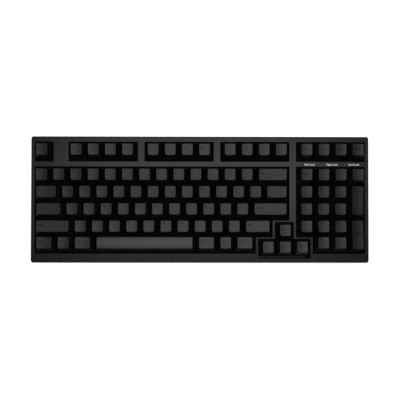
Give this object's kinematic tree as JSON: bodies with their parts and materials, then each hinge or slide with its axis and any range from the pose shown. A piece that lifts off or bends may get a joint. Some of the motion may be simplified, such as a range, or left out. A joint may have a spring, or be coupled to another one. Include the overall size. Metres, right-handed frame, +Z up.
{
  "type": "mechanical keyboard",
  "caption": "Compact full-size mechanical keyboard: sloped case, sculpted keycaps on travelling springs, arrow keys, number pad, folding tilt feet",
  "frame": {"origin": "centre of the footprint, on the surface the keyboard rests on", "axes": "+X to the typist's right along the keyboard, +Y away from the typist, +Z up"},
  "size_m": [0.382, 0.1424, 0.0418],
  "materials": {
    "keycap": "fine matte texture",
    "case": "fine matte texture",
    "plate": "black satin coat on steel",
    "bright_steel": "plated",
    "board": "solder resist over glass laminate",
    "housing": "moulded nylon",
    "chip": "moulded epoxy",
    "lens": "clear light pipe",
    "pad": "matte rubber"
  },
  "bodies": {
    "case": {"top_case": "case", "bottom_case": "case", "switch_plate": "plate", "circuit_board": "board", "switch_housings": "housing", "number_light": "lens", "capitals_light": "lens", "scroll_light": "lens", "controller_chip": "chip", "usb_socket": "bright_steel", "front_left_pad": "pad", "front_right_pad": "pad", "rear_left_pad": "pad", "rear_right_pad": "pad", "case_screw_1": "bright_steel", "case_screw_2": "bright_steel", "case_screw_3": "bright_steel", "case_screw_4": "bright_steel"},
    "esc_key": {"esc_key": "keycap"},
    "f1_to_f4_keys": {"f1_to_f4_keys": "keycap"},
    "f5_to_f8_keys": {"f5_to_f8_keys": "keycap"},
    "f9_to_f12_keys": {"f9_to_f12_keys": "keycap"},
    "navigation_keys": {"navigation_keys": "keycap"},
    "digit_row_keys": {"digit_row_keys": "keycap"},
    "backspace_key": {"backspace_key": "keycap"},
    "numpad_operator_keys": {"numpad_operator_keys": "keycap"},
    "tab_key": {"tab_key": "keycap"},
    "upper_letter_keys": {"upper_letter_keys": "keycap"},
    "backslash_key": {"backslash_key": "keycap"},
    "numpad_789_keys": {"numpad_789_keys": "keycap"},
    "numpad_plus_key": {"numpad_plus_key": "keycap"},
    "caps_lock_key": {"caps_lock_key": "keycap"},
    "home_letter_keys": {"home_letter_keys": "keycap"},
    "enter_key": {"enter_key": "keycap"},
    "numpad_456_keys": {"numpad_456_keys": "keycap"},
    "left_shift_key": {"left_shift_key": "keycap"},
    "lower_letter_keys": {"lower_letter_keys": "keycap"},
    "right_shift_key": {"right_shift_key": "keycap"},
    "up_key": {"up_key": "keycap"},
    "numpad_123_keys": {"numpad_123_keys": "keycap"},
    "numpad_enter_key": {"numpad_enter_key": "keycap"},
    "left_ctrl_key": {"left_ctrl_key": "keycap"},
    "left_meta_key": {"left_meta_key": "keycap"},
    "left_alt_key": {"left_alt_key": "keycap"},
    "space_key": {"space_key": "keycap"},
    "right_alt_key": {"right_alt_key": "keycap"},
    "fn_key": {"fn_key": "keycap"},
    "right_ctrl_key": {"right_ctrl_key": "keycap"},
    "left_key": {"left_key": "keycap"},
    "down_key": {"down_key": "keycap"},
    "right_key": {"right_key": "keycap"},
    "numpad_0_dot_keys": {"numpad_0_dot_keys": "keycap"},
    "backspace_wire": {"backspace_wire": "bright_steel"},
    "enter_wire": {"enter_wire": "bright_steel"},
    "left_shift_wire": {"left_shift_wire": "bright_steel"},
    "space_wire": {"space_wire": "bright_steel"},
    "numpad_plus_wire": {"numpad_plus_wire": "bright_steel"},
    "numpad_enter_wire": {"numpad_enter_wire": "bright_steel"},
    "left_tilt_foot": {"left_tilt_foot": "case"},
    "right_tilt_foot": {"right_tilt_foot": "case"}
  },
  "joints": [
    {"name": "esc_press", "type": "slide", "parent": "case", "child": "esc_key", "axis": [0, 0.0785, -0.9969], "range_m": [0, 0.004], "stiffness_N_per_m": 100, "springref_m": -0.003},
    {"name": "f1_to_f4_press", "type": "slide", "parent": "case", "child": "f1_to_f4_keys", "axis": [0, 0.0785, -0.9969], "range_m": [0, 0.004], "stiffness_N_per_m": 400, "springref_m": -0.003},
    {"name": "f5_to_f8_press", "type": "slide", "parent": "case", "child": "f5_to_f8_keys", "axis": [0, 0.0785, -0.9969], "range_m": [0, 0.004], "stiffness_N_per_m": 400, "springref_m": -0.003},
    {"name": "f9_to_f12_press", "type": "slide", "parent": "case", "child": "f9_to_f12_keys", "axis": [0, 0.0785, -0.9969], "range_m": [0, 0.004], "stiffness_N_per_m": 400, "springref_m": -0.003},
    {"name": "navigation_press", "type": "slide", "parent": "case", "child": "navigation_keys", "axis": [0, 0.0785, -0.9969], "range_m": [0, 0.004], "stiffness_N_per_m": 400, "springref_m": -0.003},
    {"name": "digit_row_press", "type": "slide", "parent": "case", "child": "digit_row_keys", "axis": [0, 0.0785, -0.9969], "range_m": [0, 0.004], "stiffness_N_per_m": 1300, "springref_m": -0.003},
    {"name": "backspace_press", "type": "slide", "parent": "case", "child": "backspace_key", "axis": [0, 0.0785, -0.9969], "range_m": [0, 0.004], "stiffness_N_per_m": 100, "springref_m": -0.003},
    {"name": "numpad_operator_press", "type": "slide", "parent": "case", "child": "numpad_operator_keys", "axis": [0, 0.0785, -0.9969], "range_m": [0, 0.004], "stiffness_N_per_m": 400, "springref_m": -0.003},
    {"name": "tab_press", "type": "slide", "parent": "case", "child": "tab_key", "axis": [0, 0.0785, -0.9969], "range_m": [0, 0.004], "stiffness_N_per_m": 100, "springref_m": -0.003},
    {"name": "upper_letter_press", "type": "slide", "parent": "case", "child": "upper_letter_keys", "axis": [0, 0.0785, -0.9969], "range_m": [0, 0.004], "stiffness_N_per_m": 1200, "springref_m": -0.003},
    {"name": "backslash_press", "type": "slide", "parent": "case", "child": "backslash_key", "axis": [0, 0.0785, -0.9969], "range_m": [0, 0.004], "stiffness_N_per_m": 100, "springref_m": -0.003},
    {"name": "numpad_789_press", "type": "slide", "parent": "case", "child": "numpad_789_keys", "axis": [0, 0.0785, -0.9969], "range_m": [0, 0.004], "stiffness_N_per_m": 300, "springref_m": -0.003},
    {"name": "numpad_plus_press", "type": "slide", "parent": "case", "child": "numpad_plus_key", "axis": [0, 0.0785, -0.9969], "range_m": [0, 0.004], "stiffness_N_per_m": 100, "springref_m": -0.003},
    {"name": "caps_lock_press", "type": "slide", "parent": "case", "child": "caps_lock_key", "axis": [0, 0.0785, -0.9969], "range_m": [0, 0.004], "stiffness_N_per_m": 100, "springref_m": -0.003},
    {"name": "home_letter_press", "type": "slide", "parent": "case", "child": "home_letter_keys", "axis": [0, 0.0785, -0.9969], "range_m": [0, 0.004], "stiffness_N_per_m": 1100, "springref_m": -0.003},
    {"name": "enter_press", "type": "slide", "parent": "case", "child": "enter_key", "axis": [0, 0.0785, -0.9969], "range_m": [0, 0.004], "stiffness_N_per_m": 100, "springref_m": -0.003},
    {"name": "numpad_456_press", "type": "slide", "parent": "case", "child": "numpad_456_keys", "axis": [0, 0.0785, -0.9969], "range_m": [0, 0.004], "stiffness_N_per_m": 300, "springref_m": -0.003},
    {"name": "left_shift_press", "type": "slide", "parent": "case", "child": "left_shift_key", "axis": [0, 0.0785, -0.9969], "range_m": [0, 0.004], "stiffness_N_per_m": 100, "springref_m": -0.003},
    {"name": "lower_letter_press", "type": "slide", "parent": "case", "child": "lower_letter_keys", "axis": [0, 0.0785, -0.9969], "range_m": [0, 0.004], "stiffness_N_per_m": 1000, "springref_m": -0.003},
    {"name": "right_shift_press", "type": "slide", "parent": "case", "child": "right_shift_key", "axis": [0, 0.0785, -0.9969], "range_m": [0, 0.004], "stiffness_N_per_m": 100, "springref_m": -0.003},
    {"name": "up_press", "type": "slide", "parent": "case", "child": "up_key", "axis": [0, 0.0785, -0.9969], "range_m": [0, 0.004], "stiffness_N_per_m": 100, "springref_m": -0.003},
    {"name": "numpad_123_press", "type": "slide", "parent": "case", "child": "numpad_123_keys", "axis": [0, 0.0785, -0.9969], "range_m": [0, 0.004], "stiffness_N_per_m": 300, "springref_m": -0.003},
    {"name": "numpad_enter_press", "type": "slide", "parent": "case", "child": "numpad_enter_key", "axis": [0, 0.0785, -0.9969], "range_m": [0, 0.004], "stiffness_N_per_m": 100, "springref_m": -0.003},
    {"name": "left_ctrl_press", "type": "slide", "parent": "case", "child": "left_ctrl_key", "axis": [0, 0.0785, -0.9969], "range_m": [0, 0.004], "stiffness_N_per_m": 100, "springref_m": -0.003},
    {"name": "left_meta_press", "type": "slide", "parent": "case", "child": "left_meta_key", "axis": [0, 0.0785, -0.9969], "range_m": [0, 0.004], "stiffness_N_per_m": 100, "springref_m": -0.003},
    {"name": "left_alt_press", "type": "slide", "parent": "case", "child": "left_alt_key", "axis": [0, 0.0785, -0.9969], "range_m": [0, 0.004], "stiffness_N_per_m": 100, "springref_m": -0.003},
    {"name": "space_press", "type": "slide", "parent": "case", "child": "space_key", "axis": [0, 0.0785, -0.9969], "range_m": [0, 0.004], "stiffness_N_per_m": 100, "springref_m": -0.003},
    {"name": "right_alt_press", "type": "slide", "parent": "case", "child": "right_alt_key", "axis": [0, 0.0785, -0.9969], "range_m": [0, 0.004], "stiffness_N_per_m": 100, "springref_m": -0.003},
    {"name": "fn_press", "type": "slide", "parent": "case", "child": "fn_key", "axis": [0, 0.0785, -0.9969], "range_m": [0, 0.004], "stiffness_N_per_m": 100, "springref_m": -0.003},
    {"name": "right_ctrl_press", "type": "slide", "parent": "case", "child": "right_ctrl_key", "axis": [0, 0.0785, -0.9969], "range_m": [0, 0.004], "stiffness_N_per_m": 100, "springref_m": -0.003},
    {"name": "left_press", "type": "slide", "parent": "case", "child": "left_key", "axis": [0, 0.0785, -0.9969], "range_m": [0, 0.004], "stiffness_N_per_m": 100, "springref_m": -0.003},
    {"name": "down_press", "type": "slide", "parent": "case", "child": "down_key", "axis": [0, 0.0785, -0.9969], "range_m": [0, 0.004], "stiffness_N_per_m": 100, "springref_m": -0.003},
    {"name": "right_press", "type": "slide", "parent": "case", "child": "right_key", "axis": [0, 0.0785, -0.9969], "range_m": [0, 0.004], "stiffness_N_per_m": 100, "springref_m": -0.003},
    {"name": "numpad_0_dot_press", "type": "slide", "parent": "case", "child": "numpad_0_dot_keys", "axis": [0, 0.0785, -0.9969], "range_m": [0, 0.004], "stiffness_N_per_m": 200, "springref_m": -0.003},
    {"name": "backspace_wire_rock", "type": "hinge", "parent": "case", "child": "backspace_wire", "pos_m": [0.08096, 0.01769, 0.02107], "axis": [1, 0, 0], "range_deg": [-44.1, 0]},
    {"name": "enter_wire_rock", "type": "hinge", "parent": "case", "child": "enter_wire", "pos_m": [0.07858, -0.02029, 0.01809], "axis": [1, 0, 0], "range_deg": [-44.1, 0]},
    {"name": "left_shift_wire_rock", "type": "hinge", "parent": "case", "child": "left_shift_wire", "pos_m": [-0.16431, -0.03928, 0.01659], "axis": [1, 0, 0], "range_deg": [-44.1, 0]},
    {"name": "space_wire_rock", "type": "hinge", "parent": "case", "child": "space_wire", "pos_m": [-0.06191, -0.05827, 0.0151], "axis": [1, 0, 0], "range_deg": [-44.1, 0]},
    {"name": "numpad_plus_wire_rock", "type": "hinge", "parent": "case", "child": "numpad_plus_wire", "pos_m": [0.18451, -0.00252, 0.01948], "axis": [0, 0.9969, 0.0785], "range_deg": [-44.1, 0]},
    {"name": "numpad_enter_wire_rock", "type": "hinge", "parent": "case", "child": "numpad_enter_wire", "pos_m": [0.18451, -0.0405, 0.01649], "axis": [0, 0.9969, 0.0785], "range_deg": [-44.1, 0]},
    {"name": "left_foot_swing", "type": "hinge", "parent": "case", "child": "left_tilt_foot", "pos_m": [-0.165, 0.058, 0.0045], "axis": [1, 0, 0], "range_deg": [0, 90]},
    {"name": "right_foot_swing", "type": "hinge", "parent": "case", "child": "right_tilt_foot", "pos_m": [0.165, 0.058, 0.0045], "axis": [1, 0, 0], "range_deg": [0, 90]}
  ],
  "couplings": [
    {"joint": "backspace_wire_rock", "follows": "backspace_press", "rad_per_m": -192.42},
    {"joint": "enter_wire_rock", "follows": "enter_press", "rad_per_m": -192.42},
    {"joint": "left_shift_wire_rock", "follows": "left_shift_press", "rad_per_m": -192.42},
    {"joint": "space_wire_rock", "follows": "space_press", "rad_per_m": -192.42},
    {"joint": "numpad_plus_wire_rock", "follows": "numpad_plus_press", "rad_per_m": -192.42},
    {"joint": "numpad_enter_wire_rock", "follows": "numpad_enter_press", "rad_per_m": -192.42}
  ]
}
